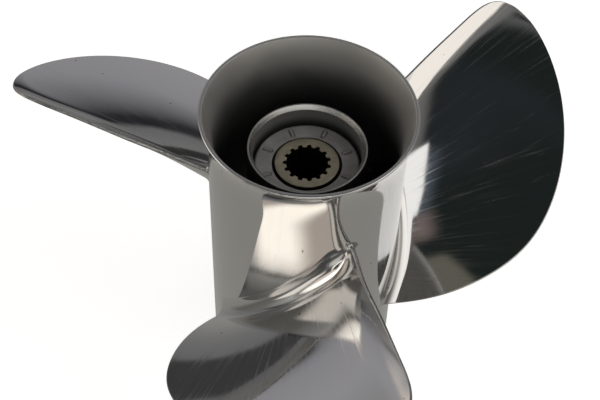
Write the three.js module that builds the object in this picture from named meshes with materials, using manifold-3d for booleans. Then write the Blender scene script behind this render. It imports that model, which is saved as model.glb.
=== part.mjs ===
// Three-bladed through-hub-exhaust boat propeller, right-hand rotation.
// Millimetres. +Z is the propeller shaft axis and points aft; z = 0 is the barrel's forward face.
// Blade 1 lies around +X.

import * as THREE from 'three';
import { ParametricGeometry } from 'three/addons/geometries/ParametricGeometry.js';
import { mergeVertices } from 'three/addons/utils/BufferGeometryUtils.js';
import Module from 'manifold-3d';

const wasm = await Module();
wasm.setup();

// ---- driving dimensions -------------------------------------------------------------------

const CLEARANCE = 0.3;            // gap left between neighbouring pieces

const BARREL_RADIUS = 60.3;       // 4 3/4 in gearcase class
const BARREL_LENGTH = 226;
const BARREL_WALL = 4;
const BARREL_CHAMFER = 0.8;
const RIM_RADIUS = 65.5;          // flared diffuser lip at the aft end
const RIM_WALL = 2.7;
const FLARE_LENGTH = 34;

const HUB_RADIUS = 36.6;          // inner hub tube, which holds the rubber bush
const HUB_BORE_RADIUS = 33.5;
const HUB_AFT_Z = 195;
const HUB_FORWARD_Z = 52;
const HUB_SHOULDER_RADIUS = 27;   // forward shoulder that the bush seats on
const HUB_SHOULDER_LENGTH = 10;
const HUB_LIP_CHAMFER = 2;
const HUB_LIP_DEPTH = 2.8;

const RIB_COUNT = 3;
const RIB_THICKNESS = 5;
const RIB_FORWARD_Z = 64;
const RIB_AFT_Z = 136;
const RIB_FIRST_ANGLE = 40;       // degrees

const BUSH_AFT_Z = 180;
const BUSH_CHAMFER = 2.4;
const BUSH_GROOVE_RADIUS = 21.5;  // shallow groove round the sleeve at each end of the bush
const BUSH_GROOVE_DEPTH = 3;
const BAR_COUNT = 8;
const BAR_INNER_RADIUS = 23.6;
const BAR_OUTER_RADIUS = 29.6;
const BAR_WIDTH = 2;
const BAR_HEIGHT = 1;

const SLEEVE_RADIUS = 19.8;
const SLEEVE_AFT_Z = 181;
const SLEEVE_FORWARD_Z = 48;
const SPLINE_TEETH = 15;
const SPLINE_MAJOR_RADIUS = 14.8;
const SPLINE_MINOR_RADIUS = 12.8;
const SPLINE_FIRST_SLOT = -10.5;  // degrees

const BLADE_COUNT = 3;
const BLADE_Z = 97.5;             // height of the blade face on the barrel at angle zero
const ROOT_PITCH = 414;           // advance in one turn at the barrel
const PITCH_GROWTH = 0.75;        // extra pitch for each millimetre of radius
const RAKE_SLOPE = 0.33;          // aft lean of the blade for each millimetre of radius
const RAKE_CURVE = -0.00084;
const ROOT_THICKNESS = 13;
const TIP_THICKNESS = 2.6;
const LEADING_EDGE_THICKNESS = 1.6;
const TRAILING_TIP_THICKNESS = 2;
const TRAILING_ROOT_THICKNESS = 3.8;
const AFT_FILLET = 10;            // root fillet on the blade's aft face
const FORWARD_FILLET = 5;         // on its forward face
const END_FILLET = 3;             // and round its two edges
const FILLET_GROWTH = 0.15;       // share of the chord in which it grows from the trailing edge
const CUP_WIDTH = 16;             // band along the trailing edge that turns aft
const CUP_LIFT = 2.2;
const CUP_ROOT_LIFT = 2.2;        // extra lift at the barrel, gone by the end of the next length
const CUP_ROOT_LENGTH = 60;
const CUP_FADE_SPAN = 0.72;       // the cup dies away from here to the tip

// Blade outline as radius in mm and angle in degrees, from the trailing edge's root
// round the tip to the leading edge's root.
const BLADE_OUTLINE = [
  [60.3, 60], [87, 53.7], [119, 51.8], [152.5, 50.4], [182, 48.7], [195, 41.7],
  [187.5, 27.6], [170, 12.3], [148, -1.4], [121.5, -10.7], [92.5, -18.2], [60.3, -24.7],
];
const TIP_POINT = 5;              // the entry of BLADE_OUTLINE at the tip

const LATHE_SEGMENTS = 60;
const BLADE_ROWS = 9;
const BLADE_SIDE_STEPS = 12;
const BLADE_EDGE_STEPS = 4;
const ROOT_CAP_SPANS = 3;
const FILLET_SPANS = [0, 0.004, 0.012, 0.028, 0.05, 0.08];
const LAST_SPAN = 0.995;

// ---- helpers ------------------------------------------------------------------------------

const radians = THREE.MathUtils.degToRad;

// Position-only geometry with shared corners merged and collapsed triangles dropped.
function closedGeometry(geometry) {
  geometry.deleteAttribute('normal');
  geometry.deleteAttribute('uv');
  const merged = mergeVertices(geometry, 1e-4);
  const corners = merged.index.array;
  const kept = [];
  for (let i = 0; i < corners.length; i += 3) {
    const [a, b, c] = corners.slice(i, i + 3);
    if (a !== b && b !== c && c !== a) {
      kept.push(a, b, c);
    }
  }
  merged.setIndex(kept);
  return merged;
}

function toSolid(geometry) {
  const closed = closedGeometry(geometry);
  return new wasm.Manifold(new wasm.Mesh({
    numProp: 3,
    vertProperties: new Float32Array(closed.attributes.position.array),
    triVerts: new Uint32Array(closed.index.array),
  }));
}

function fromSolid(solid) {
  const mesh = solid.getMesh();
  const geometry = new THREE.BufferGeometry();
  geometry.setAttribute('position', new THREE.BufferAttribute(mesh.vertProperties, 3));
  geometry.setIndex(new THREE.BufferAttribute(mesh.triVerts, 1));
  return geometry;
}

// A ring turned about Z from a closed outline of [radius, z] points, given counter-clockwise.
function turned(outline) {
  const points = [...outline, outline[0]].map(([radius, z]) => new THREE.Vector2(radius, z));
  const geometry = new THREE.LatheGeometry(points, LATHE_SEGMENTS);
  geometry.rotateX(Math.PI / 2);
  return closedGeometry(geometry);
}

function namedMesh(name, geometry, material) {
  geometry.computeVertexNormals();
  const mesh = new THREE.Mesh(geometry, material);
  mesh.name = name;
  return mesh;
}

// ---- materials ----------------------------------------------------------------------------

function polishedSteel() {
  return new THREE.MeshStandardMaterial({ color: 0xa9a9a4, roughness: 0.1, metalness: 1 });
}

function castSteel() {
  return new THREE.MeshStandardMaterial({ color: 0x7d7f7b, roughness: 0.55, metalness: 0.9 });
}

function rubber() {
  return new THREE.MeshStandardMaterial({ color: 0x5c5d59, roughness: 0.75, metalness: 0 });
}

function brass() {
  return new THREE.MeshStandardMaterial({ color: 0x8c8466, roughness: 0.45, metalness: 0.9 });
}

// ---- barrel -------------------------------------------------------------------------------

function makeBarrel() {
  const flareStart = BARREL_LENGTH - FLARE_LENGTH;
  const flareSteps = 6;
  const outer = [];
  const inner = [];
  for (let i = 0; i <= flareSteps; i += 1) {
    const part = i / flareSteps;
    const z = flareStart + FLARE_LENGTH * part;
    const bell = part ** 3;
    const wall = THREE.MathUtils.lerp(BARREL_WALL, RIM_WALL, part);
    const radius = THREE.MathUtils.lerp(BARREL_RADIUS, RIM_RADIUS, bell);
    outer.push([radius, z]);
    inner.unshift([radius - wall, z]);
  }
  return turned([
    [BARREL_RADIUS - BARREL_WALL, 0],
    [BARREL_RADIUS - BARREL_CHAMFER, 0],
    [BARREL_RADIUS, BARREL_CHAMFER],
    ...outer,
    ...inner,
  ]);
}

// ---- inner hub and its ribs ---------------------------------------------------------------

function makeInnerHub() {
  const shoulderZ = HUB_FORWARD_Z + HUB_SHOULDER_LENGTH;
  return turned([
    [HUB_SHOULDER_RADIUS, HUB_FORWARD_Z],
    [HUB_RADIUS - HUB_SHOULDER_LENGTH / 2, HUB_FORWARD_Z],
    [HUB_RADIUS, HUB_FORWARD_Z + HUB_SHOULDER_LENGTH / 2],
    [HUB_RADIUS, HUB_AFT_Z],
    [HUB_BORE_RADIUS + HUB_LIP_CHAMFER, HUB_AFT_Z],
    [HUB_BORE_RADIUS, HUB_AFT_Z - HUB_LIP_DEPTH],
    [HUB_BORE_RADIUS, shoulderZ],
    [HUB_SHOULDER_RADIUS, shoulderZ],
  ]);
}

// A radial web whose two ends follow the hub and the barrel wall.
function makeRib() {
  const innerRadius = HUB_RADIUS + CLEARANCE;
  const outerRadius = BARREL_RADIUS - BARREL_WALL - CLEARANCE;
  const innerHalf = Math.asin(RIB_THICKNESS / 2 / innerRadius);
  const outerHalf = Math.asin(RIB_THICKNESS / 2 / outerRadius);
  const shape = new THREE.Shape();
  shape.absarc(0, 0, outerRadius, -outerHalf, outerHalf, false);
  shape.absarc(0, 0, innerRadius, innerHalf, -innerHalf, true);
  const geometry = new THREE.ExtrudeGeometry(shape, {
    depth: RIB_AFT_Z - RIB_FORWARD_Z,
    bevelEnabled: false,
    curveSegments: 3,
  });
  geometry.translate(0, 0, RIB_FORWARD_Z);
  return closedGeometry(geometry);
}

// ---- rubber bush --------------------------------------------------------------------------

function makeBar(index) {
  const half = BAR_WIDTH / 2;
  const shape = new THREE.Shape();
  shape.absarc(BAR_OUTER_RADIUS - half, 0, half, -Math.PI / 2, Math.PI / 2, false);
  shape.absarc(BAR_INNER_RADIUS + half, 0, half, Math.PI / 2, Math.PI * 1.5, false);
  const sunk = 1;
  const geometry = new THREE.ExtrudeGeometry(shape, {
    depth: BAR_HEIGHT + sunk,
    bevelEnabled: false,
    curveSegments: 4,
  });
  geometry.translate(0, 0, BUSH_AFT_Z - sunk);
  geometry.rotateZ((index + 0.5) * 2 * Math.PI / BAR_COUNT);
  return toSolid(geometry);
}

function makeBush() {
  const outerRadius = HUB_BORE_RADIUS - CLEARANCE;
  const innerRadius = SLEEVE_RADIUS + CLEARANCE;
  const forwardZ = HUB_FORWARD_Z + HUB_SHOULDER_LENGTH + CLEARANCE;
  let solid = toSolid(turned([
    [innerRadius, forwardZ],
    [outerRadius, forwardZ],
    [outerRadius, BUSH_AFT_Z - BUSH_CHAMFER],
    [outerRadius - BUSH_CHAMFER, BUSH_AFT_Z],
    [BUSH_GROOVE_RADIUS, BUSH_AFT_Z],
    [BUSH_GROOVE_RADIUS, BUSH_AFT_Z - BUSH_GROOVE_DEPTH],
    [innerRadius, BUSH_AFT_Z - BUSH_GROOVE_DEPTH],
  ]));
  for (let i = 0; i < BAR_COUNT; i += 1) {
    solid = solid.add(makeBar(i));
  }
  return fromSolid(solid);
}

// ---- splined sleeve -----------------------------------------------------------------------

// Splined hole: one round-bottomed slot and one tooth after another, as a radius and a share
// of the tooth pitch.
function splineHole() {
  const toothAngle = 2 * Math.PI / SPLINE_TEETH;
  const depth = SPLINE_MAJOR_RADIUS - SPLINE_MINOR_RADIUS;
  const corners = [
    [SPLINE_MINOR_RADIUS, -0.25],
    [SPLINE_MINOR_RADIUS + 0.55 * depth, -0.2],
    [SPLINE_MINOR_RADIUS + 0.87 * depth, -0.12],
    [SPLINE_MAJOR_RADIUS, 0],
    [SPLINE_MINOR_RADIUS + 0.87 * depth, 0.12],
    [SPLINE_MINOR_RADIUS + 0.55 * depth, 0.2],
    [SPLINE_MINOR_RADIUS, 0.25],
    [SPLINE_MINOR_RADIUS, 0.5],
  ];
  const points = [];
  for (let tooth = 0; tooth < SPLINE_TEETH; tooth += 1) {
    for (const [radius, share] of corners) {
      const angle = (tooth + share) * toothAngle + radians(SPLINE_FIRST_SLOT);
      points.push(new THREE.Vector2(radius * Math.cos(angle), radius * Math.sin(angle)));
    }
  }
  return new THREE.Path(points);
}

function makeSleeve() {
  const shape = new THREE.Shape();
  shape.absarc(0, 0, SLEEVE_RADIUS, 0, 2 * Math.PI, false);
  shape.holes.push(splineHole());
  const geometry = new THREE.ExtrudeGeometry(shape, {
    depth: SLEEVE_AFT_Z - SLEEVE_FORWARD_Z,
    bevelEnabled: false,
    curveSegments: LATHE_SEGMENTS / 2,
  });
  geometry.translate(0, 0, SLEEVE_FORWARD_Z);
  return closedGeometry(geometry);
}

// ---- blades -------------------------------------------------------------------------------

const outlineCurve = new THREE.SplineCurve(
  BLADE_OUTLINE.map(([radius, angle]) => new THREE.Vector2(radius, radians(angle))),
);
const OUTLINE_SPANS = BLADE_OUTLINE.length - 1;
const TIP_RADIUS = BLADE_OUTLINE[TIP_POINT][0];

// Radius and angle at a share of the way from root (0) to tip (1), and from the
// trailing edge (0) to the leading edge (1).
function bladePlace(span, chord) {
  const trailing = outlineCurve.getPoint(span * TIP_POINT / OUTLINE_SPANS);
  const leading = outlineCurve.getPoint(1 - span * (1 - TIP_POINT / OUTLINE_SPANS));
  const place = trailing.clone().lerp(leading, chord);
  return { radius: Math.max(place.x, BARREL_RADIUS + CLEARANCE), angle: place.y };
}

function advancePerRadian(radius) {
  return (ROOT_PITCH + PITCH_GROWTH * (radius - BARREL_RADIUS)) / (2 * Math.PI);
}

function faceHeight(radius, angle) {
  const out = radius - BARREL_RADIUS;
  return BLADE_Z + advancePerRadian(radius) * angle + RAKE_SLOPE * out + RAKE_CURVE * out * out;
}

// The trailing edge is blunt and thickens towards the root; the leading edge is thin.
function sectionThickness(radius, chord) {
  const span = (radius - BARREL_RADIUS) / (TIP_RADIUS - BARREL_RADIUS);
  const inward = Math.max(1 - span, 0);
  const middle = TIP_THICKNESS + (ROOT_THICKNESS - TIP_THICKNESS) * inward ** 1.5;
  const trailing = TRAILING_TIP_THICKNESS
    + (TRAILING_ROOT_THICKNESS - TRAILING_TIP_THICKNESS) * inward ** 2;
  const edge = THREE.MathUtils.lerp(trailing, LEADING_EDGE_THICKNESS, chord);
  const bulge = Math.max(Math.sin(Math.PI * chord ** 1.05), 0) ** 1.7;
  return edge + (middle - edge) * bulge;
}

// How far a root fillet of a given size stands out from the blade at a radius.
function filletReach(radius, fillet) {
  const left = fillet - Math.min(radius - BARREL_RADIUS, fillet);
  return fillet - Math.sqrt(fillet ** 2 - left ** 2);
}

// Root fillet on the side that the skin faces: small at the trailing edge, then full.
function faceFillet(chord, facing) {
  const full = Math.sin(facing) < 0 ? FORWARD_FILLET : AFT_FILLET;
  return THREE.MathUtils.lerp(END_FILLET, full, THREE.MathUtils.smoothstep(chord, 0, FILLET_GROWTH));
}

// How far the cup turns the trailing edge aft.
function cupLift(span, radius) {
  const { smoothstep } = THREE.MathUtils;
  const atRoot = 1 - smoothstep(radius, BARREL_RADIUS, BARREL_RADIUS + CUP_ROOT_LENGTH);
  return (CUP_LIFT + CUP_ROOT_LIFT * atRoot) * (1 - smoothstep(span, CUP_FADE_SPAN, 1));
}

// Steps round a section: chord share, and the direction in which its skin faces.
function sectionSteps() {
  const steps = [];
  for (let i = 0; i < BLADE_EDGE_STEPS; i += 1) {
    steps.push({ chord: 0, facing: 1.5 * Math.PI - Math.PI * i / BLADE_EDGE_STEPS });
  }
  for (let i = 0; i < BLADE_SIDE_STEPS; i += 1) {
    steps.push({ chord: i / BLADE_SIDE_STEPS, facing: Math.PI / 2 });
  }
  for (let i = 0; i < BLADE_EDGE_STEPS; i += 1) {
    steps.push({ chord: 1, facing: Math.PI / 2 - Math.PI * i / BLADE_EDGE_STEPS });
  }
  for (let i = 0; i < BLADE_SIDE_STEPS; i += 1) {
    steps.push({ chord: 1 - i / BLADE_SIDE_STEPS, facing: -Math.PI / 2 });
  }
  return steps;
}

// Rows from root to tip. Those that cap the root and the tip are drawn in to the middle of
// the section, which closes the blade.
function spanRows() {
  const rows = [];
  for (let i = 0; i < ROOT_CAP_SPANS; i += 1) {
    rows.push({ span: 0, fullness: i / ROOT_CAP_SPANS });
  }
  for (const span of FILLET_SPANS) {
    rows.push({ span, fullness: 1 });
  }
  const filletEnd = FILLET_SPANS[FILLET_SPANS.length - 1];
  for (let i = 1; i <= BLADE_ROWS; i += 1) {
    const part = 1 - (1 - i / BLADE_ROWS) ** 1.4;
    rows.push({ span: THREE.MathUtils.lerp(filletEnd, LAST_SPAN, part), fullness: 1 });
  }
  rows.push({ span: LAST_SPAN, fullness: 0 });
  return rows;
}

function bladePoint(row, step, target) {
  const { radius, angle } = bladePlace(row.span, step.chord);
  const advance = advancePerRadian(radius);
  const slant = Math.hypot(radius, advance);
  const half = sectionThickness(radius, step.chord) / 2;
  const fromTrailing = bladePlace(row.span, 0).angle - angle;
  const cup = cupLift(row.span, radius) * Math.max(0, 1 - fromTrailing * slant / CUP_WIDTH) ** 2;
  const length = row.fullness * (half + filletReach(radius, END_FILLET));
  const height = row.fullness * (half + filletReach(radius, faceFillet(step.chord, step.facing)));
  const alongChord = length * Math.cos(step.facing) + half * (1 - 2 * step.chord);
  const acrossFace = height * Math.sin(step.facing) - half + cup;
  const arc = (-radius * alongChord - advance * acrossFace) / slant;
  const rise = (-advance * alongChord + radius * acrossFace) / slant;
  const turn = angle + arc / radius;
  target.set(radius * Math.cos(turn), radius * Math.sin(turn), faceHeight(radius, angle) + rise);
}

function makeBlade() {
  const rows = spanRows();
  const steps = sectionSteps();
  const place = (around, along, target) => {
    const step = steps[Math.round(around * steps.length) % steps.length];
    const row = rows[Math.round(along * (rows.length - 1))];
    bladePoint(row, step, target);
  };
  return closedGeometry(new ParametricGeometry(place, steps.length, rows.length - 1));
}

// ---- assembly -----------------------------------------------------------------------------

const group = new THREE.Group();
group.add(namedMesh('barrel', makeBarrel(), polishedSteel()));
group.add(namedMesh('inner_hub', makeInnerHub(), castSteel()));

for (let i = 0; i < RIB_COUNT; i += 1) {
  const rib = namedMesh(`rib_${i + 1}`, makeRib(), castSteel());
  rib.rotation.z = radians(RIB_FIRST_ANGLE) + i * 2 * Math.PI / RIB_COUNT;
  group.add(rib);
}

for (let i = 0; i < BLADE_COUNT; i += 1) {
  const blade = namedMesh(`blade_${i + 1}`, makeBlade(), polishedSteel());
  blade.rotation.z = i * 2 * Math.PI / BLADE_COUNT;
  group.add(blade);
}

group.add(namedMesh('rubber_bush', makeBush(), rubber()));
group.add(namedMesh('spline_sleeve', makeSleeve(), brass()));

export default group;
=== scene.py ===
"""Looks of a three-bladed stainless steel outboard propeller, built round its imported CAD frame.

Metres, +Z along the shaft and pointing aft; the propeller stands on its forward rim.
"""

import math

import bpy
import numpy as np
from mathutils import Matrix, Vector


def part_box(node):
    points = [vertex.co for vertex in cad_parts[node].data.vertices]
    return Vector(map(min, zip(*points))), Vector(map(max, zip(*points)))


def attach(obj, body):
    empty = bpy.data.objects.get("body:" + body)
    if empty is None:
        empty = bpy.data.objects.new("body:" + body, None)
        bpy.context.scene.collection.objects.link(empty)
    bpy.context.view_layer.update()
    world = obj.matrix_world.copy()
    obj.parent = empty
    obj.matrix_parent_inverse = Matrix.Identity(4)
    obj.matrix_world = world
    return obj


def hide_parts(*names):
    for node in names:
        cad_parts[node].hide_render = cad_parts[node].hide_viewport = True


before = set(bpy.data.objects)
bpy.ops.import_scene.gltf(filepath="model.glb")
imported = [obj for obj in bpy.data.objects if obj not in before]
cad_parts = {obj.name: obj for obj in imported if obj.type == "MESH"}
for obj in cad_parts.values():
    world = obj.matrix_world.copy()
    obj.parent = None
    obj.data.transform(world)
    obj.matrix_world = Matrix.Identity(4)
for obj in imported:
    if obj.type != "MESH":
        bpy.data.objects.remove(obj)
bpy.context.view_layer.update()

# ---- sizes --------------------------------------------------------------------------------

MM = 0.001

_, BARREL_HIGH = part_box("barrel")
HUB_LOW, HUB_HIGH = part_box("inner_hub")
RIB_LOW, RIB_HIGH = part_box("rib_1")
BUSH_LOW, BUSH_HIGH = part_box("rubber_bush")
SLEEVE_LOW, SLEEVE_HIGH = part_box("spline_sleeve")

BARREL_RADIUS = 60.3 * MM
BARREL_WALL = 4 * MM
BARREL_LENGTH = BARREL_HIGH.z
RIM_RADIUS = BARREL_HIGH.x
RIM_WALL = 2.7 * MM
FLARE_LENGTH = 34 * MM

HUB_RADIUS = HUB_HIGH.x
HUB_BORE_RADIUS = 33.5 * MM
HUB_SHOULDER_RADIUS = 27 * MM
HUB_SHOULDER_LENGTH = 10 * MM
HUB_LIP_CHAMFER = 2 * MM
HUB_LIP_DEPTH = 2.8 * MM

RIB_COUNT = 3
RIB_THICKNESS = 5 * MM
RIB_FIRST_ANGLE = math.radians(40)
RIB_FILLET = 5 * MM

EMBEDDED = 0.3 * MM

BAR_HEIGHT = 1 * MM
BAR_COUNT = 8
BAR_INNER_RADIUS = 23.6 * MM
BAR_OUTER_RADIUS = 29.6 * MM
BAR_WIDTH = 2 * MM
BAR_ROUNDING = 0.7 * MM
BAR_MOAT_WIDTH = 0.6 * MM
BAR_MOAT_DEPTH = 1.5 * MM
BUSH_FACE_Z = BUSH_HIGH.z - BAR_HEIGHT
BUSH_GROOVE_RADIUS = 21.5 * MM
BUSH_GROOVE_DEPTH = 3 * MM
BUSH_ROUNDING = 2.4 * MM
BUSH_GAP = 0.3 * MM

SLEEVE_RADIUS = SLEEVE_HIGH.x
SPLINE_TEETH = 15
SPLINE_FIRST_SLOT = math.radians(-10.5)
SPLINE_SLOT_SHARE = 0.27
SPLINE_SLOT_POWER = 2.6
SPLINE_MAJOR_RADIUS = 14.8 * MM
SPLINE_MINOR_RADIUS = 12.8 * MM

BLADE_COUNT = 3
BLADE_Z = 97.5 * MM
ROOT_PITCH = 414 * MM
PITCH_GROWTH = 0.75
RAKE_SLOPE = 0.33
RAKE_CURVE = -0.84
ROOT_THICKNESS = 13 * MM
TIP_THICKNESS = 2.6 * MM
LEADING_EDGE_THICKNESS = 1.6 * MM
TRAILING_TIP_THICKNESS = 2 * MM
TRAILING_ROOT_THICKNESS = 3.8 * MM
AFT_FILLET = 11 * MM
FORWARD_FILLET = 5 * MM
END_FILLET = 3 * MM
FILLET_GROWTH = 0.15
CUP_WIDTH = 16 * MM
CUP_LIFT = 2.2 * MM
CUP_ROOT_LIFT = 2.2 * MM
CUP_ROOT_LENGTH = 60 * MM
CUP_FADE_SPAN = 0.72
TRAILING_LAND = math.radians(115)
THICKNESS_TAPER = 1.5
TRAILING_TAPER = 2
BULGE_SKEW = 1.05
BULGE_POWER = 1.7
TRAILING_SQUARENESS = 0.62
TIP_FADE_SPAN = 0.02
TIP_FULLNESS = 0.35
FILLET_SPAN = 0.09
LAST_SPAN = 0.9985

# Blade outline's spline corners, as radius in mm and angle in degrees, from the trailing
# edge's root round the tip to the leading edge's root. They are copied from what a scratch
# script's least-squares fit to the photo's blade outlines printed, with two radii rounded
# by 0.1 mm and the ends at the root changed by hand.
BLADE_OUTLINE = [
    (60.3, 60.2), (86.5, 53.3), (118.6, 51.8), (153, 50.2), (184.9, 49.7), (199.3, 43.2),
    (188.9, 27.5), (171, 12.2), (148.5, -2.4), (122, -10.8), (93, -18.4), (60.3, -24.7),
]
TIP_CORNER = 5


# ---- mesh building ------------------------------------------------------------------------

def make_object(name, points, faces, materials, face_materials=None):
    mesh = bpy.data.meshes.new(name)
    mesh.from_pydata([tuple(point) for point in points], [], faces)
    mesh.validate()
    mesh.polygons.foreach_set("use_smooth", [True] * len(mesh.polygons))
    for material in materials:
        mesh.materials.append(material)
    if face_materials is not None:
        mesh.polygons.foreach_set("material_index", face_materials)
    piece = bpy.data.objects.new(name, mesh)
    bpy.context.scene.collection.objects.link(piece)
    return piece


def rounded_outline(corners, steps=6):
    """Points round a closed outline of (r, z, rounding radius, material) corners."""
    points = []
    count = len(corners)
    for i, (r, z, rounding, material) in enumerate(corners):
        here = Vector((r, z))
        if rounding == 0:
            points.append((r, z, material))
            continue
        before = Vector(corners[i - 1][:2]) - here
        after = Vector(corners[(i + 1) % count][:2]) - here
        half_angle = before.angle(after) / 2
        setback = rounding / math.tan(half_angle)
        start = here + before.normalized() * setback
        end = here + after.normalized() * setback
        centre = here + (before.normalized() + after.normalized()).normalized() * (
            rounding / math.sin(half_angle))
        for step in range(steps + 1):
            chord_point = start.lerp(end, step / steps)
            on_arc = centre + (chord_point - centre).normalized() * rounding
            points.append((on_arc.x, on_arc.y, material))
    return points


def revolve(name, outline, materials, segments=240):
    """A ring turned about Z from a closed outline of (r, z, material) points."""
    profile = np.array([(r, z) for r, z, _ in outline])
    angles = np.arange(segments) * 2 * math.pi / segments
    points = np.stack([
        profile[None, :, 0] * np.cos(angles)[:, None],
        profile[None, :, 0] * np.sin(angles)[:, None],
        np.broadcast_to(profile[:, 1], (segments, len(profile))),
    ], axis=-1).reshape(-1, 3)
    faces, face_materials = grid_faces(segments, len(profile), True)
    return make_object(name, points, faces, materials,
                       [outline[j][2] for j in face_materials])


def grid_faces(rows, columns, wrap_rows):
    """Quads over a grid whose columns wrap round; also the column of each quad."""
    faces = []
    column_of = []
    for i in range(rows if wrap_rows else rows - 1):
        below = (i + 1) % rows
        for j in range(columns):
            beside = (j + 1) % columns
            faces.append((i * columns + j, below * columns + j,
                          below * columns + beside, i * columns + beside))
            column_of.append(j)
    return faces, column_of


def loft(name, rows, materials, column_materials=None):
    """A closed body through rows of points. Each row is a loop that is symmetrical about its
    first and middle points, so the two ends are closed by strips across the loop."""
    count, around = rows.shape[:2]
    faces, column_of = grid_faces(count, around, False)
    for first, flip in ((0, True), ((count - 1) * around, False)):
        for i in range(around // 2):
            strip = [first + i, first + i + 1, first + around - i - 1,
                     first + (around - i) % around]
            strip = list(dict.fromkeys(strip))
            faces.append(tuple(strip if flip else reversed(strip)))
    if column_materials is None:
        column_materials = [0] * around
    face_materials = [column_materials[j] for j in column_of]
    face_materials += [0] * (len(faces) - len(face_materials))
    return make_object(name, rows.reshape(-1, 3), faces, materials, face_materials)


# ---- blades -------------------------------------------------------------------------------

def outline_at(t):
    """Cubic B-spline through the ends of BLADE_OUTLINE: (radius, angle) at shares t."""
    corners = np.array([(r * MM, math.radians(a)) for r, a in BLADE_OUTLINE])
    corners = np.vstack([2 * corners[0] - corners[1], corners, 2 * corners[-1] - corners[-2]])
    spans = len(BLADE_OUTLINE) - 1
    place = np.clip(np.asarray(t, float), 0, 1) * spans
    span = np.minimum(place.astype(int), spans - 1)
    f = (place - span)[..., None]
    a, b, c, d = (corners[span + k] for k in range(4))
    return ((1 - f) ** 3 * a + (3 * f ** 3 - 6 * f ** 2 + 4) * b
            + (-3 * f ** 3 + 3 * f ** 2 + 3 * f + 1) * c + f ** 3 * d) / 6


def advance_per_radian(radius):
    return (ROOT_PITCH + PITCH_GROWTH * (radius - BARREL_RADIUS)) / (2 * math.pi)


def face_point(radius, angle):
    out = radius - BARREL_RADIUS
    z = (BLADE_Z + advance_per_radian(radius) * angle + RAKE_SLOPE * out
         + RAKE_CURVE * out ** 2)
    return np.stack([radius * np.cos(angle), radius * np.sin(angle), z], axis=-1)


def unit(vectors):
    return vectors / np.linalg.norm(vectors, axis=-1, keepdims=True)


def smooth_step(value, low, high):
    share = np.clip((value - low) / (high - low), 0, 1)
    return share * share * (3 - 2 * share)


def section_thickness(radius, chord):
    tip_radius = BLADE_OUTLINE[TIP_CORNER][0] * MM
    inward = np.clip(1 - (radius - BARREL_RADIUS) / (tip_radius - BARREL_RADIUS), 0, 1)
    middle = TIP_THICKNESS + (ROOT_THICKNESS - TIP_THICKNESS) * inward ** THICKNESS_TAPER
    trailing = (TRAILING_TIP_THICKNESS
                + (TRAILING_ROOT_THICKNESS - TRAILING_TIP_THICKNESS) * inward ** TRAILING_TAPER)
    edge = trailing + (LEADING_EDGE_THICKNESS - trailing) * chord
    bulge = np.clip(np.sin(math.pi * chord ** BULGE_SKEW), 0, 1) ** BULGE_POWER
    return edge + (middle - edge) * bulge


def section_loop(edge_steps=14, side_steps=64):
    """Chord share and facing angle round a section, from the middle of the trailing edge
    over the aft face to the middle of the leading edge, and back over the forward face."""
    side = (1 - np.cos(np.linspace(0, math.pi, side_steps + 1))) / 2
    half_edge = np.linspace(0, math.pi / 2, edge_steps + 1)
    chord = np.concatenate([np.zeros(edge_steps), side, np.ones(edge_steps)])
    facing = np.concatenate([math.pi - half_edge[:-1], np.full(side_steps + 1, math.pi / 2),
                             math.pi / 2 - half_edge[1:]])
    chord = np.concatenate([chord, chord[-2:0:-1]])
    facing = np.concatenate([facing, -facing[-2:0:-1]])
    return chord, facing


def fillet_reach(radius, fillet):
    """How far a root fillet of a given size stands out from the blade at a radius."""
    left = fillet - np.clip(radius - BARREL_RADIUS, 0, fillet)
    return fillet - np.sqrt(np.maximum(fillet ** 2 - left ** 2, 0))


def blade_rows():
    """Spans of the rows: close together at the root and at the tip."""
    fillet_rows = 22
    outer_rows = 90
    crowding = 1.15
    low = FILLET_SPAN * (1 - np.cos(np.linspace(0, math.pi / 2, fillet_rows))) ** crowding
    high = FILLET_SPAN + (LAST_SPAN - FILLET_SPAN) * np.sin(
        np.linspace(0, math.pi / 2, outer_rows)[1:])
    return np.concatenate([low, high])


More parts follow.
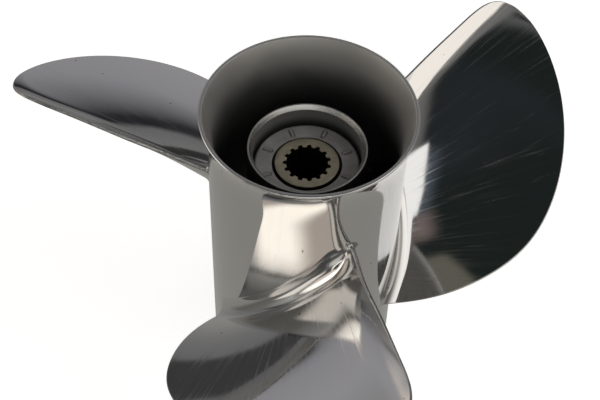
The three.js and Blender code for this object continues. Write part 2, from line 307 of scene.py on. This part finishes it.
def make_blade(name, turn, polished, ground):
    span = blade_rows()[:, None]
    chord, facing = (values[None, :] for values in section_loop())
    corner_share = TIP_CORNER / (len(BLADE_OUTLINE) - 1)
    trailing = outline_at(span * corner_share)
    leading = outline_at(1 - span * (1 - corner_share))
    place = trailing + (leading - trailing) * chord[..., None]
    radius, angle = place[..., 0], place[..., 1]

    advance = advance_per_radian(radius)
    slant = np.hypot(radius, advance)
    round_unit = np.stack([-np.sin(angle), np.cos(angle), 0 * angle], axis=-1)
    up_unit = np.array([0, 0, 1.0])
    towards_leading = (-radius[..., None] * round_unit
                       - advance[..., None] * up_unit) / slant[..., None]
    aft_normal = (-advance[..., None] * round_unit
                  + radius[..., None] * up_unit) / slant[..., None]

    step = 1e-5
    out_slope = face_point(radius + step, angle) - face_point(radius - step, angle)
    round_slope = face_point(radius, angle + step) - face_point(radius, angle - step)
    true_normal = unit(np.cross(out_slope, round_slope))
    row_slope = unit(face_point(leading[..., 0], leading[..., 1])
                     - face_point(trailing[..., 0], trailing[..., 1]))
    row_slope = unit(row_slope - true_normal * np.sum(row_slope * true_normal, -1, keepdims=True))
    freed = smooth_step(radius, BARREL_RADIUS + AFT_FILLET, BARREL_RADIUS + 4 * AFT_FILLET)
    along = unit(towards_leading + (row_slope - towards_leading) * freed[..., None])
    across = unit(aft_normal + (true_normal - aft_normal) * freed[..., None])

    half = section_thickness(radius, chord) / 2
    tip_fade = np.sqrt(np.clip((1 - span) / TIP_FADE_SPAN, 0, 1))
    half = half * (TIP_FULLNESS + (1 - TIP_FULLNESS) * tip_fade)
    squareness = TRAILING_SQUARENESS + (1 - TRAILING_SQUARENESS) * chord
    edge_x = np.sign(np.cos(facing)) * np.abs(np.cos(facing)) ** squareness
    edge_y = np.sign(np.sin(facing)) * np.abs(np.sin(facing)) ** squareness
    from_trailing = (trailing[..., 1] - angle) * slant
    at_root = 1 - smooth_step(radius, BARREL_RADIUS, BARREL_RADIUS + CUP_ROOT_LENGTH)
    lift = (CUP_LIFT + CUP_ROOT_LIFT * at_root) * (1 - smooth_step(span, CUP_FADE_SPAN, 1))
    cup = lift * np.clip(1 - from_trailing / CUP_WIDTH, 0, 1) ** 2
    along_shift = (half * edge_x + fillet_reach(radius, END_FILLET) * np.cos(facing)
                   + half * (1 - 2 * chord))
    full_fillet = np.where(np.sin(facing) < 0, FORWARD_FILLET, AFT_FILLET)
    face_fillet = END_FILLET + (full_fillet - END_FILLET) * smooth_step(chord, 0, FILLET_GROWTH)
    across_shift = (half * edge_y + fillet_reach(radius, face_fillet) * np.sin(facing)
                    - half + cup)

    # A shift of this size along the barrel's skin would leave it, so it is bent round the axis.
    base = face_point(radius, angle)
    shift = along * along_shift[..., None] + across * across_shift[..., None]
    round_shift = np.sum(shift * round_unit, -1)
    bent_angle = angle + round_shift / radius
    out_unit = np.stack([np.cos(angle), np.sin(angle), 0 * angle], axis=-1)
    bent_radius = radius + np.sum(shift * out_unit, -1)
    height = base[..., 2] + shift[..., 2]
    bent_radius[0] -= EMBEDDED
    bent_angle = bent_angle + turn
    rows = np.stack([bent_radius * np.cos(bent_angle), bent_radius * np.sin(bent_angle),
                     height], axis=-1)
    on_trailing_edge = (chord[0] == 0) & (np.abs(facing[0]) > TRAILING_LAND)
    return loft(name, rows, [polished, ground], on_trailing_edge.astype(int))


# ---- barrel, hub and ribs -----------------------------------------------------------------

def make_barrel(polished, blasted):
    outer = []
    inner = []
    steps = 36
    for i in range(steps + 1):
        share = i / steps
        z = BARREL_LENGTH - FLARE_LENGTH * (1 - share)
        radius = BARREL_RADIUS + (RIM_RADIUS - BARREL_RADIUS) * share ** 3
        wall = BARREL_WALL + (RIM_WALL - BARREL_WALL) * share
        outer.append((radius, z, 0, 0))
        inner.append((radius - wall, z, 0, 1))
    rim_outer = outer.pop()
    rim_inner = inner.pop()
    corners = [
        (BARREL_RADIUS - BARREL_WALL, 0, 0.5 * MM, 0),
        (BARREL_RADIUS, 0, 0.8 * MM, 0),
        *outer,
        (rim_outer[0], rim_outer[1], 0.7 * MM, 0),
        (rim_inner[0], rim_inner[1], 0.7 * MM, 1),
        *reversed(inner),
    ]
    return revolve("barrel_shell", rounded_outline(corners), [polished, blasted])


def make_hub(blasted, machined):
    shoulder_z = HUB_LOW.z + HUB_SHOULDER_LENGTH
    taper = HUB_SHOULDER_LENGTH / 2
    corners = [
        (HUB_SHOULDER_RADIUS, HUB_LOW.z, 0.6 * MM, 1),
        (HUB_RADIUS - taper, HUB_LOW.z, 1 * MM, 0),
        (HUB_RADIUS, HUB_LOW.z + taper, 1 * MM, 0),
        (HUB_RADIUS, HUB_HIGH.z, 0.5 * MM, 1),
        (HUB_BORE_RADIUS + HUB_LIP_CHAMFER, HUB_HIGH.z, 0.3 * MM, 1),
        (HUB_BORE_RADIUS, HUB_HIGH.z - HUB_LIP_DEPTH, 0.3 * MM, 0),
        (HUB_BORE_RADIUS, shoulder_z, 0, 0),
        (HUB_SHOULDER_RADIUS, shoulder_z, 0, 0),
    ]
    return revolve("inner_hub_tube", rounded_outline(corners), [blasted, machined])


def make_rib(name, turn, material):
    """A radial web with a fillet where it meets the hub and the barrel, and round ends."""
    inner = HUB_RADIUS - EMBEDDED
    outer = BARREL_RADIUS - BARREL_WALL + EMBEDDED
    radii = inner + (outer - inner) * (1 - np.cos(np.linspace(0, math.pi, 40))) / 2
    left = RIB_FILLET - np.minimum(np.minimum(radii - inner, outer - radii), RIB_FILLET)
    half_width = RIB_THICKNESS / 2 + RIB_FILLET - np.sqrt(RIB_FILLET ** 2 - left ** 2)
    facing = np.linspace(0, 2 * math.pi, 48, endpoint=False) + math.pi
    rows = []
    for radius, half in zip(radii, half_width):
        middle_z = np.where(np.cos(facing) < 0, RIB_LOW.z + RIB_THICKNESS / 2,
                            RIB_HIGH.z - RIB_THICKNESS / 2)
        z = middle_z + half * np.cos(facing)
        angle = turn + half * np.sin(facing) / radius
        rows.append(np.stack([radius * np.cos(angle), radius * np.sin(angle), z], axis=-1))
    return loft(name, np.array(rows), [material])


# ---- bush and sleeve ----------------------------------------------------------------------

def make_bush(material):
    groove_z = BUSH_FACE_Z - BUSH_GROOVE_DEPTH
    inner = SLEEVE_RADIUS + BUSH_GAP
    outer = BUSH_HIGH.x
    face_outer = outer - BUSH_ROUNDING
    corners = [
        (inner, BUSH_LOW.z, 0, 0),
        (outer, BUSH_LOW.z, 2 * MM, 0),
        (outer, BUSH_FACE_Z, BUSH_ROUNDING, 0),
    ]
    face_steps = 40
    face_inner = BUSH_GROOVE_RADIUS + 0.5 * MM
    for i in range(1, face_steps + 1):
        radius = face_outer + (face_inner - face_outer) * i / face_steps
        corners.append((radius, BUSH_FACE_Z, 0, 0))
    corners += [
        (BUSH_GROOVE_RADIUS + 0.15 * MM, BUSH_FACE_Z - 0.15 * MM, 0, 0),
        (BUSH_GROOVE_RADIUS, BUSH_FACE_Z - 0.5 * MM, 0, 0),
        (BUSH_GROOVE_RADIUS, groove_z, 0, 0),
        (inner, groove_z, 0, 0),
    ]
    bush = revolve("bush_moulding", rounded_outline(corners, 8), [material], 960)
    raise_bars(bush)
    return bush


def raise_bars(bush):
    """Lift the bars out of the bush's aft face, each in a narrow moat."""
    points = np.empty(len(bush.data.vertices) * 3)
    bush.data.vertices.foreach_get("co", points)
    points = points.reshape(-1, 3)
    radius = np.hypot(points[:, 0], points[:, 1])
    pitch = 2 * math.pi / BAR_COUNT
    aside = (np.arctan2(points[:, 1], points[:, 0]) % pitch - pitch / 2) * radius
    half = BAR_WIDTH / 2
    beyond = radius - np.clip(radius, BAR_INNER_RADIUS + half, BAR_OUTER_RADIUS - half)
    from_side = half - np.hypot(beyond, aside)
    crown = np.sqrt(np.clip(1 - (1 - np.clip(from_side / BAR_ROUNDING, 0, 1)) ** 2, 0, 1))
    moat = BAR_MOAT_DEPTH * (1 - smooth_step(-from_side, 0.5 * BAR_MOAT_WIDTH, BAR_MOAT_WIDTH))
    lift = np.where(from_side > 0, (BAR_HEIGHT + BAR_MOAT_DEPTH) * crown, 0) - moat
    on_face = points[:, 2] > BUSH_FACE_Z - 0.01 * MM
    points[:, 2] += np.where(on_face, lift, 0)
    bush.data.vertices.foreach_set("co", points.ravel())
    bush.data.update()


def spline_radius(angle):
    """Radius of the splined bore: rounded slots between wider teeth."""
    turns = (angle - SPLINE_FIRST_SLOT) / (2 * math.pi)
    share = np.abs((turns * SPLINE_TEETH + 0.5) % 1 - 0.5)
    slot = np.clip(1 - (share / SPLINE_SLOT_SHARE) ** SPLINE_SLOT_POWER, 0, 1)
    slot = slot ** (1 / SPLINE_SLOT_POWER)
    return SPLINE_MINOR_RADIUS + (SPLINE_MAJOR_RADIUS - SPLINE_MINOR_RADIUS) * slot


def make_sleeve(material):
    segments = SPLINE_TEETH * 32
    angles = SPLINE_FIRST_SLOT + np.arange(segments) * 2 * math.pi / segments
    bore = spline_radius(angles)
    low, high = SLEEVE_LOW.z, SLEEVE_HIGH.z
    edge = 0.5 * MM
    bore_edge = 0.35 * MM
    rings = []
    for depth, inset in ((0.5, 0), (0.15, 0.15), (0, 0.5)):
        rings.append((SLEEVE_RADIUS - inset * edge + 0 * bore, high - depth * edge))
    for share in (0.3, 0.6, 0.9):
        rings.append(((SLEEVE_RADIUS - edge) * (1 - share) + (bore + bore_edge) * share, high))
    for depth, inset in ((0, 1), (0.3, 0.3), (1, 0)):
        rings.append((bore + inset * bore_edge, high - depth * bore_edge))
    for depth, inset in ((1, 0), (0.3, 0.3), (0, 1)):
        rings.append((bore + inset * bore_edge, low + depth * bore_edge))
    for depth, inset in ((0, 0.5), (0.15, 0.15), (0.5, 0)):
        rings.append((SLEEVE_RADIUS - inset * edge + 0 * bore, low + depth * edge))
    columns = [np.stack([radius * np.cos(angles), radius * np.sin(angles),
                         np.full(segments, z)], axis=-1) for radius, z in rings]
    points = np.stack(columns, axis=1).reshape(-1, 3)
    faces, _ = grid_faces(segments, len(rings), True)
    return make_object("sleeve_turning", points, faces, [material])


# ---- materials ----------------------------------------------------------------------------

class Nodes:
    """Shorthand for wiring one node tree."""

    def __init__(self, tree):
        self.tree = tree

    def add(self, kind, **settings):
        node = self.tree.nodes.new(kind)
        for key, value in settings.items():
            setattr(node, key, value)
        return node

    def feed(self, socket, value):
        if isinstance(value, bpy.types.NodeSocket):
            self.tree.links.new(value, socket)
        else:
            socket.default_value = value

    def math(self, operation, a, b=0.0):
        node = self.add("ShaderNodeMath", operation=operation)
        self.feed(node.inputs[0], a)
        self.feed(node.inputs[1], b)
        return node.outputs[0]

    def vector(self, x, y, z):
        node = self.add("ShaderNodeCombineXYZ")
        for socket, value in zip(node.inputs, (x, y, z)):
            self.feed(socket, value)
        return node.outputs[0]

    def noise(self, vector, scale, detail=2.0, roughness=0.5):
        node = self.add("ShaderNodeTexNoise")
        self.feed(node.inputs["Vector"], vector)
        node.inputs["Scale"].default_value = scale
        node.inputs["Detail"].default_value = detail
        node.inputs["Roughness"].default_value = roughness
        return node.outputs["Fac"]

    def remap(self, value, low, high, to_low, to_high, smooth=False):
        node = self.add("ShaderNodeMapRange", clamp=True)
        if smooth:
            node.interpolation_type = "SMOOTHSTEP"
        for socket, item in zip(node.inputs, (value, low, high, to_low, to_high)):
            self.feed(socket, item)
        return node.outputs[0]

    def mix(self, share, a, b):
        node = self.add("ShaderNodeMix", data_type="RGBA")
        self.feed(node.inputs[0], share)
        self.feed(node.inputs[6], a)
        self.feed(node.inputs[7], b)
        return node.outputs[2]

    def ramp(self, elevation, stops):
        node = self.add("ShaderNodeValToRGB")
        self.feed(node.inputs[0], self.remap(elevation, -90, 90, 0.0, 1.0))
        elements = node.color_ramp.elements
        elements.remove(elements[1])
        for degrees, tone in stops:
            element = elements.new((degrees + 90) / 180)
            element.color = rgb(*tone)
        elements.remove(elements[0])
        return node.outputs[0]

    def bump(self, height, distance, strength=1.0, normal=None):
        node = self.add("ShaderNodeBump")
        node.inputs["Strength"].default_value = strength
        node.inputs["Distance"].default_value = distance
        self.feed(node.inputs["Height"], height)
        if normal is not None:
            self.feed(node.inputs["Normal"], normal)
        return node.outputs[0]

    def place(self):
        """The point's own place on the part, and its radius, angle and height there."""
        position = self.add("ShaderNodeTexCoord").outputs["Object"]
        parts = self.add("ShaderNodeSeparateXYZ")
        self.feed(parts.inputs[0], position)
        x, y, z = parts.outputs
        squares = self.math("ADD", self.math("MULTIPLY", x, x), self.math("MULTIPLY", y, y))
        return position, self.math("SQRT", squares), self.math("ARCTAN2", y, x), z


def rgb(*values):
    return (*values, 1.0)


def new_material(name, metallic):
    material = bpy.data.materials.new(name)
    material.use_nodes = True
    nodes = Nodes(material.node_tree)
    shader = material.node_tree.nodes["Principled BSDF"]
    shader.inputs["Metallic"].default_value = metallic
    return material, nodes, shader.inputs


def mirror_steel(name, radial, waviness):
    """Hand-polished cast steel: slightly wavy, with brush lines along the blade's radius or
    round the barrel, a few stray scratches and small casting pits."""
    material, nodes, inputs = new_material(name, 1.0)
    position, radius, angle, z = nodes.place()
    if radial:
        lines = nodes.vector(nodes.math("MULTIPLY", radius, 14.0),
                             nodes.math("MULTIPLY", angle, 110.0),
                             nodes.math("MULTIPLY", z, 60.0))
        stray = nodes.vector(nodes.math("MULTIPLY", radius, 4.0),
                             nodes.math("MULTIPLY", angle, 22.0), 0.0)
    else:
        lines = nodes.vector(nodes.math("MULTIPLY", angle, 2.0), 0.0,
                             nodes.math("MULTIPLY", z, 2500.0))
        stray = nodes.vector(nodes.math("MULTIPLY", angle, 3.0), 0.0,
                             nodes.math("MULTIPLY", z, 40.0))
    brushing = nodes.noise(lines, 1.0, 3.0)
    clouds = nodes.noise(position, 28.0, 3.0)
    lone = nodes.noise(stray, 1.0, 1.0, 0.4)
    from_line = nodes.math("ABSOLUTE", nodes.math("SUBTRACT", lone, 0.5))
    here = nodes.remap(nodes.noise(position, 24.0, 1.0), 0.5, 0.7, 0.0, 1.0, True)
    scratch = nodes.math("MULTIPLY", nodes.remap(from_line, 0.0, 0.008, 1.0, 0.0, True), here)
    pits = nodes.remap(nodes.noise(position, 330.0, 0.0), 0.86, 0.89, 0.0, 1.0)

    tone = nodes.mix(clouds, rgb(0.595, 0.60, 0.61), rgb(0.635, 0.62, 0.60))
    nodes.feed(inputs["Base Color"], nodes.mix(pits, tone, rgb(0.12, 0.12, 0.115)))
    polish = nodes.remap(clouds, 0.3, 0.7, 0.03, 0.07)
    brushed = nodes.math("MULTIPLY", nodes.remap(brushing, 0.5, 0.8, 0.0, 1.0), 0.17)
    rough = nodes.math("ADD", polish, brushed)
    rough = nodes.math("ADD", rough, nodes.math("MULTIPLY", scratch, 0.16))
    nodes.feed(inputs["Roughness"], nodes.math("ADD", rough, nodes.math("MULTIPLY", pits, 0.4)))
    wave = nodes.bump(nodes.noise(position, 26.0, 1.0), waviness)
    nodes.feed(inputs["Normal"], nodes.bump(brushing, 0.004 * MM, 1.0, wave))
    return material


def ground_steel(name):
    """The blunt trailing edge, ground along its length and only half polished."""
    material, nodes, inputs = new_material(name, 1.0)
    position, radius, angle, _ = nodes.place()
    grind = nodes.noise(nodes.vector(nodes.math("MULTIPLY", radius, 70.0),
                                     nodes.math("MULTIPLY", angle, 260.0), 0.0), 1.0, 3.0)
    nicks = nodes.noise(position, 420.0, 2.0)
    tone = nodes.mix(nodes.remap(grind, 0.3, 0.7, 0.0, 1.0),
                     rgb(0.20, 0.20, 0.20), rgb(0.50, 0.50, 0.49))
    nodes.feed(inputs["Base Color"],
               nodes.mix(nodes.remap(nicks, 0.55, 0.72, 0.0, 0.8), tone, rgb(0.13, 0.13, 0.13)))
    nodes.feed(inputs["Roughness"], nodes.remap(nicks, 0.3, 0.7, 0.3, 0.48))
    nodes.feed(inputs["Normal"], nodes.bump(nicks, 0.06 * MM))
    return material


def blasted_steel(name):
    """The casting's unpolished inside: matt grey with a fine grain and faint clouds, made
    lighter towards the barrel's rim as painted light, with painted shade deep between the barrel
    and the hub, and a painted shadow low in the hub's bore."""
    material, nodes, inputs = new_material(name, 0.75)
    position, radius, _, z = nodes.place()
    grain = nodes.noise(position, 1400.0, 2.0)
    clouds = nodes.noise(position, 45.0, 4.0)
    tone = nodes.mix(nodes.remap(clouds, 0.3, 0.7, 0.0, 1.0),
                     rgb(0.27, 0.275, 0.275), rgb(0.335, 0.33, 0.325))
    tone = nodes.mix(nodes.remap(grain, 0.55, 0.8, 0.0, 0.4), tone, rgb(0.42, 0.42, 0.41))
    outside_hub = nodes.math("GREATER_THAN", radius, HUB_RADIUS - 0.5 * MM)
    # Painted light: the barrel's inside is made lighter towards the rim, where more light falls
    # in.
    painted_rim_light = nodes.remap(z, BARREL_HIGH.z - 30 * MM, BARREL_HIGH.z - 12 * MM, 0.0, 0.9, True)
    painted_rim_light = nodes.math("MULTIPLY", painted_rim_light, outside_hub)
    tone = nodes.mix(painted_rim_light, tone, rgb(0.43, 0.425, 0.41))
    # Painted shade: between the barrel and the hub the colour fades to near black away from the
    # rim.
    painted_deep_shade = nodes.remap(z, HUB_HIGH.z - 10 * MM, BARREL_HIGH.z - 9 * MM, 0.84, 0.0, True)
    painted_deep_shade = nodes.math("MULTIPLY", painted_deep_shade, outside_hub)
    # Painted shadow: the hub's bore darkens towards the bush face.
    painted_bore_shadow = nodes.remap(z, BUSH_FACE_Z, BUSH_FACE_Z + 9 * MM, 0.9, 0.1, True)
    painted_bore_shadow = nodes.math("MULTIPLY", painted_bore_shadow, nodes.math("SUBTRACT", 1.0, outside_hub))
    # Painted shade and painted shadow together, mixed towards near black.
    painted_shade = nodes.math("MAXIMUM", painted_deep_shade, painted_bore_shadow)
    nodes.feed(inputs["Base Color"], nodes.mix(painted_shade, tone, rgb(0.02, 0.026, 0.025)))
    nodes.feed(inputs["Roughness"], nodes.remap(clouds, 0.3, 0.7, 0.44, 0.56))
    nodes.feed(inputs["Normal"], nodes.bump(grain, 0.05 * MM))
    return material


def machined_steel(name):
    """A turned lip: fine rings, brighter where the tool left it fresh."""
    material, nodes, inputs = new_material(name, 1.0)
    position, radius, angle, z = nodes.place()
    rings = nodes.noise(nodes.vector(nodes.math("MULTIPLY", radius, 6000.0),
                                     nodes.math("MULTIPLY", angle, 1.5),
                                     nodes.math("MULTIPLY", z, 6000.0)), 1.0, 2.0)
    nicks = nodes.noise(position, 260.0, 2.0)
    tone = nodes.mix(rings, rgb(0.34, 0.34, 0.33), rgb(0.56, 0.56, 0.55))
    nodes.feed(inputs["Base Color"],
               nodes.mix(nodes.remap(nicks, 0.6, 0.75, 0.0, 0.4), tone, rgb(0.3, 0.3, 0.29)))
    nodes.feed(inputs["Roughness"], nodes.remap(rings, 0.3, 0.7, 0.22, 0.38))
    nodes.feed(inputs["Normal"], nodes.bump(rings, 0.02 * MM))
    return material


def bush_rubber(name):
    """Moulded rubber under a dusty bloom that has gone grey, with a painted shadow round its
    outer edge and painted shade in its groove.
    """
    material, nodes, inputs = new_material(name, 0.0)
    position, radius, angle, _ = nodes.place()
    bloom = nodes.noise(position, 60.0, 4.0)
    grain = nodes.noise(position, 1100.0, 2.0)
    rings = nodes.noise(nodes.vector(nodes.math("MULTIPLY", radius, 1500.0),
                                     nodes.math("MULTIPLY", angle, 1.0), 0.0), 1.0, 2.0)
    tone = nodes.mix(nodes.remap(bloom, 0.35, 0.68, 0.0, 1.0),
                     rgb(0.27, 0.265, 0.262), rgb(0.42, 0.41, 0.405))
    tone = nodes.mix(nodes.remap(rings, 0.5, 0.75, 0.0, 0.4), tone, rgb(0.5, 0.49, 0.48))
    tone = nodes.mix(nodes.remap(grain, 0.55, 0.8, 0.0, 0.4), tone, rgb(0.2, 0.2, 0.2))
    # Painted shadow: the bush's face darkens towards its outer edge, under the hub's lip.
    painted_edge_shadow = nodes.remap(radius, BUSH_HIGH.x - 2.2 * MM, BUSH_HIGH.x - 0.6 * MM, 0.0, 0.9, True)
    # Painted shade: the groove round the sleeve is made near black.
    painted_groove_shade = nodes.remap(radius, BUSH_GROOVE_RADIUS - 0.1 * MM,
                            BUSH_GROOVE_RADIUS + 0.3 * MM, 0.95, 0.0, True)
    nodes.feed(inputs["Base Color"], nodes.mix(nodes.math("MAXIMUM", painted_edge_shadow, painted_groove_shade), tone,
                                               rgb(0.025, 0.025, 0.024)))
    nodes.feed(inputs["Roughness"], nodes.remap(bloom, 0.3, 0.7, 0.45, 0.62))
    nodes.feed(inputs["Normal"], nodes.bump(grain, 0.06 * MM))
    return material


def dull_brass(name):
    """Turned brass gone dull on its faces, with painted shade making its bore and its side near
    black.
    """
    material, nodes, inputs = new_material(name, 0.85)
    position, radius, angle, z = nodes.place()
    rings = nodes.noise(nodes.vector(nodes.math("MULTIPLY", radius, 5000.0),
                                     nodes.math("MULTIPLY", angle, 2.0), 0.0), 1.0, 2.0)
    patina = nodes.noise(position, 150.0, 4.0)
    tone = nodes.mix(nodes.remap(patina, 0.35, 0.65, 0.0, 1.0),
                     rgb(0.36, 0.33, 0.24), rgb(0.52, 0.46, 0.345))
    tone = nodes.mix(nodes.math("MULTIPLY", rings, 0.35), tone, rgb(0.62, 0.57, 0.45))
    # Painted shade: the bore and the outer side are made near black between the aft and forward
    # edges.
    below_aft = nodes.remap(z, SLEEVE_HIGH.z - 1 * MM, SLEEVE_HIGH.z - 0.3 * MM, 1.0, 0.0)
    above_forward = nodes.remap(z, SLEEVE_LOW.z + 0.3 * MM, SLEEVE_LOW.z + 1 * MM, 0.0, 1.0)
    in_bore = nodes.math("LESS_THAN", radius, SPLINE_MAJOR_RADIUS + 1 * MM)
    on_side = nodes.math("GREATER_THAN", radius, SLEEVE_RADIUS - 0.2 * MM)
    painted_sleeve_shade = nodes.math("MULTIPLY", nodes.math("MULTIPLY", below_aft, above_forward),
                        nodes.math("ADD", in_bore, on_side))
    nodes.feed(inputs["Base Color"], nodes.mix(painted_sleeve_shade, tone, rgb(0.02, 0.019, 0.015)))
    nodes.feed(inputs["Roughness"], nodes.remap(patina, 0.3, 0.7, 0.36, 0.52))
    nodes.feed(inputs["Normal"], nodes.bump(rings, 0.02 * MM))
    return material


def floor_white(name):
    """White paper that glows a little, except under the barrel."""
    material, nodes, inputs = new_material(name, 0.0)
    position, radius, _, _ = nodes.place()
    paper = nodes.noise(position, 3.0, 2.0)
    nodes.feed(inputs["Base Color"], nodes.mix(paper, rgb(0.86, 0.86, 0.86), rgb(0.9, 0.9, 0.9)))
    inputs["Roughness"].default_value = 0.8
    inputs["Emission Color"].default_value = rgb(1.0, 1.0, 1.0)
    nodes.feed(inputs["Emission Strength"],
               nodes.remap(radius, 0.97 * BARREL_RADIUS, BARREL_RADIUS, 0.0, 0.67))
    return material


# ---- stage --------------------------------------------------------------------------------

def make_camera():
    """The photo's camera, as the scratch fit solved it from the rim, hub and blades."""
    data = bpy.data.cameras.new("camera")
    data.sensor_width = 36
    data.lens = 77.75
    camera = bpy.data.objects.new("camera", data)
    bpy.context.scene.collection.objects.link(camera)
    tilt = math.radians(39.476)
    roll = math.radians(1.935)
    to_right, up_the_view, back = 5.24 * MM, -51.6 * MM, 757.07 * MM
    turned = Matrix.Rotation(tilt, 4, "X") @ Matrix.Rotation(roll, 4, "Z")
    rim_centre = Vector((0, 0, BARREL_LENGTH))
    offset = turned @ Vector((-to_right, up_the_view, back))
    camera.matrix_world = Matrix.Translation(rim_centre + offset) @ turned
    bpy.context.scene.camera = camera


def make_floor():
    half = 6
    floor = make_object("floor", [(-half, -half, 0), (half, -half, 0), (half, half, 0),
                                  (-half, half, 0)], [(0, 1, 2, 3)],
                        [floor_white("floor_white")])
    floor.visible_glossy = False


# What lights the propeller and is reflected in its steel. The directions and tones were set
# to bring back the photo's reflections, from measurements of the photo.
# First come the stops (elevation, colour) up the far wall and up the near side,
# then the panels in front of them. A panel runs from its left to its right azimuth and from
# its low to its high elevation, all in degrees; azimuths are from +Y towards +X, and its
# edges rise by its slant per degree of azimuth and blur over its softness.
FAR_WALL = [
    (-90, (0.36, 0.353, 0.32)), (-24, (0.31, 0.305, 0.29)), (-13, (0.22, 0.22, 0.22)),
    (-5.5, (0.19, 0.19, 0.195)), (-3.5, (0.025, 0.025, 0.028)), (-0.5, (0.03, 0.03, 0.035)),
    (5, (0.19, 0.187, 0.2)), (11, (0.36, 0.355, 0.375)), (20, (0.41, 0.405, 0.42)),
    (45, (0.22, 0.22, 0.225)), (90, (0.10, 0.10, 0.10)),
]
NEAR_SIDE = [
    (-90, (0.36, 0.353, 0.32)), (-28, (0.31, 0.305, 0.285)), (-18, (0.16, 0.155, 0.14)),
    (-4, (0.20, 0.195, 0.18)), (7, (0.5, 0.49, 0.47)), (20, (1.1, 1.07, 1.0)),
    (36, (1.5, 1.46, 1.4)), (41, (0.24, 0.235, 0.225)), (90, (0.2, 0.2, 0.2)),
]
NEAR_SIDE_EDGES = (100, 303, -200, 200)
NEAR_SIDE_SOFTNESS = 14
PANELS = [
    ("flag", 75, 262, 46, 130, -0.28, 4, (0.017, 0.023, 0.022)),
    ("flag_seam", 120, 175, 52, 72, -0.3, 16, (0.025, 0.03, 0.033)),
    ("blue_haze", 160, 192, 42, 50, -0.28, 7, (0.085, 0.105, 0.13)),
    ("right_window", 60, 134, 24, 56, -0.2, 1.5, (1.38, 1.31, 1.22)),
    ("rear_window", 155, 190, 30, 47, -0.28, 1.2, (1.32, 1.31, 1.28)),
    ("brown_cloth", 190, 205, 38, 47, 0, 8, (0.21, 0.17, 0.16)),
    ("olive_cloth", 216, 238, 38, 55, 0.5, 4, (0.16, 0.155, 0.125)),
    ("camera_stand", 206, 240, 2, 24, 0, 6, (0.13, 0.13, 0.13)),
    ("near_slit", 199, 204, -10, 30, 0, 2, (0.08, 0.08, 0.08)),
    ("left_soft_box", 238, 306, 11, 36, 0.1, 5, (0.9, 0.79, 0.7)),
    ("left_glow", 259, 292, 10.5, 33, 0, 15, (2.6, 2.45, 2.2)),
    ("left_gap", 222, 306, 6, 8.5, 0, 3, (0.22, 0.21, 0.195)),
    ("left_table", 218, 262, -7, 5, 0, 6, (1.15, 1.08, 0.98)),
    ("far_slot", 3, 45, -20, -13.5, 0.1, 1.5, (0.035, 0.035, 0.035)),
    ("far_dark_corner", -37, -19, -5, 8, 0, 3, (0.06, 0.058, 0.06)),
]


def make_world():
    world = bpy.data.worlds.new("studio")
    bpy.context.scene.world = world
    world.use_nodes = True
    nodes = Nodes(world.node_tree)
    view = nodes.add("ShaderNodeTexCoord").outputs["Generated"]
    direction = nodes.add("ShaderNodeSeparateXYZ")
    nodes.feed(direction.inputs[0], view)
    x, y, z = direction.outputs
    azimuth = nodes.math("MULTIPLY", nodes.math("ARCTAN2", x, y), 180 / math.pi)
    elevation = nodes.math("MULTIPLY", nodes.math("ARCSINE", z), 180 / math.pi)
    near = panel_shape(nodes, azimuth, elevation, NEAR_SIDE_EDGES, 0, NEAR_SIDE_SOFTNESS)
    color = nodes.mix(near, nodes.ramp(elevation, FAR_WALL), nodes.ramp(elevation, NEAR_SIDE))
    for _, left, right, low, high, slant, soft, tint in PANELS:
        shape = panel_shape(nodes, azimuth, elevation, (left, right, low, high), slant, soft)
        color = nodes.mix(shape, color, rgb(*tint))
    seen = nodes.add("ShaderNodeLightPath").outputs["Is Camera Ray"]
    background = world.node_tree.nodes["Background"]
    nodes.feed(background.inputs["Color"], nodes.mix(seen, color, rgb(1.0, 1.0, 1.0)))


def panel_shape(nodes, azimuth, elevation, edges, slant, soft):
    left, right, low, high = edges
    half_width = (right - left) / 2
    aside = nodes.math("WRAP", nodes.math("SUBTRACT", azimuth, (left + right) / 2), 180.0)
    aside.node.inputs[2].default_value = -180.0
    level = nodes.math("SUBTRACT", elevation, nodes.math("MULTIPLY", aside, slant))
    aside = nodes.math("ABSOLUTE", aside)
    across = nodes.remap(aside, half_width - soft / 2, half_width + soft / 2, 1.0, 0.0, True)
    above = nodes.remap(level, low - soft / 2, low + soft / 2, 0.0, 1.0, True)
    below = nodes.remap(level, high - soft / 2, high + soft / 2, 1.0, 0.0, True)
    return nodes.math("MULTIPLY", across, nodes.math("MULTIPLY", above, below))


# ---- assembly -----------------------------------------------------------------------------

make_camera()
make_floor()
make_world()
bpy.context.scene.view_settings.view_transform = "Standard"

barrel_steel = mirror_steel("barrel_mirror_steel", radial=False, waviness=0.05 * MM)
blade_steel = mirror_steel("blade_mirror_steel", radial=True, waviness=0.12 * MM)
inside_steel = blasted_steel("blasted_steel")
edge_steel = ground_steel("ground_edge_steel")
lip_steel = machined_steel("machined_steel")
rubber = bush_rubber("bush_rubber")
brass = dull_brass("dull_brass")


def place(piece, node, body, slot):
    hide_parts(node)
    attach(piece, body)


place(make_barrel(barrel_steel, inside_steel), "barrel", "propeller", "polished_steel")
place(make_hub(inside_steel, lip_steel), "inner_hub", "propeller", "cast_steel")
for i in range(RIB_COUNT):
    rib_angle = RIB_FIRST_ANGLE + i * 2 * math.pi / RIB_COUNT
    place(make_rib(f"rib_{i + 1}_web", rib_angle, inside_steel), f"rib_{i + 1}",
          "propeller", "cast_steel")
for i in range(BLADE_COUNT):
    blade_angle = i * 2 * math.pi / BLADE_COUNT
    casting = make_blade(f"blade_{i + 1}_casting", blade_angle, blade_steel, edge_steel)
    place(casting, f"blade_{i + 1}", "propeller", "polished_steel")
place(make_bush(rubber), "rubber_bush", "propeller", "bush_rubber")
place(make_sleeve(brass), "spline_sleeve", "sleeve", "sleeve_brass")

bpy.context.view_layer.update()
